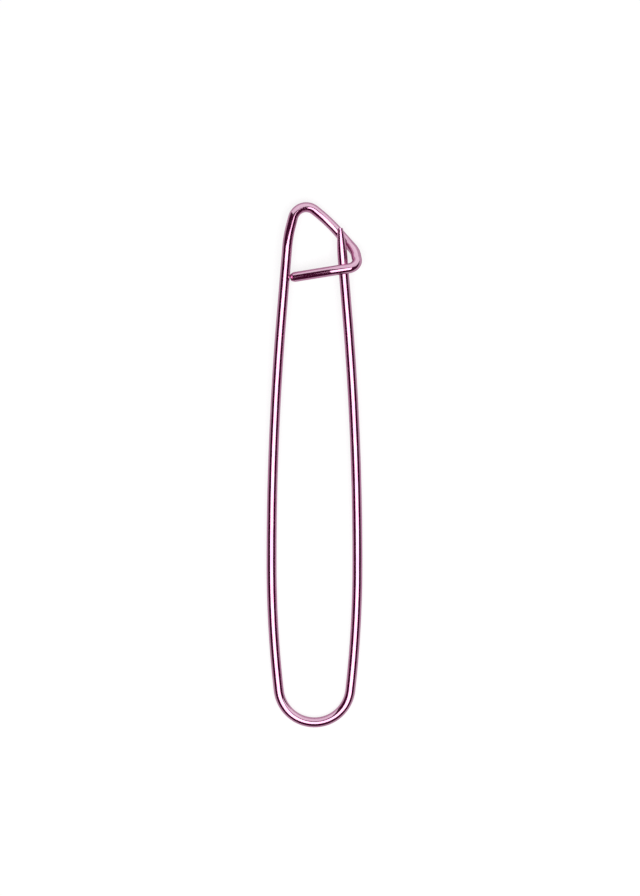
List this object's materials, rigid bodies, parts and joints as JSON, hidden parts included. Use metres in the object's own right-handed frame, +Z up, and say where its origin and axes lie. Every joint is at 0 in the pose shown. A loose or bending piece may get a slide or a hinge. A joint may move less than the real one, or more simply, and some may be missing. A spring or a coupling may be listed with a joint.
{
  "type": "knitting stitch holder",
  "caption": "Long safety-pin-like loop of anodised wire whose blunt needle arm springs into a bent catch at the head, to hold live knitting stitches.",
  "frame": {"origin": "middle of the footprint, on the surface that the holder lies on", "axes": "+Y along the holder from the spring bend to the head, +Z up through the flat of the loop to the side where the bar crosses the needle, +X towards the needle"},
  "size_m": [0.024, 0.1312, 0.0078],
  "materials": {
    "anodised_wire": "bright anodised, mauve pink"
  },
  "bodies": {
    "frame": {"spring_bend": "anodised_wire", "back_arm": "anodised_wire", "head_bend": "anodised_wire", "head_strut": "anodised_wire", "catch_elbow": "anodised_wire", "catch_hook": "anodised_wire", "catch_bar": "anodised_wire"},
    "needle": {"needle_arm": "anodised_wire", "needle_tip": "anodised_wire"}
  },
  "joints": [
    {"name": "needle_squeeze", "type": "hinge", "parent": "frame", "child": "needle", "pos_m": [0, -0.06108, 0.00125], "axis": [-0.2241, 0, 0.9746], "range_deg": [0, 5], "stiffness_Nm_per_rad": 1, "springref_deg": -2.29, "deforming": ["spring_bend"]}
  ]
}
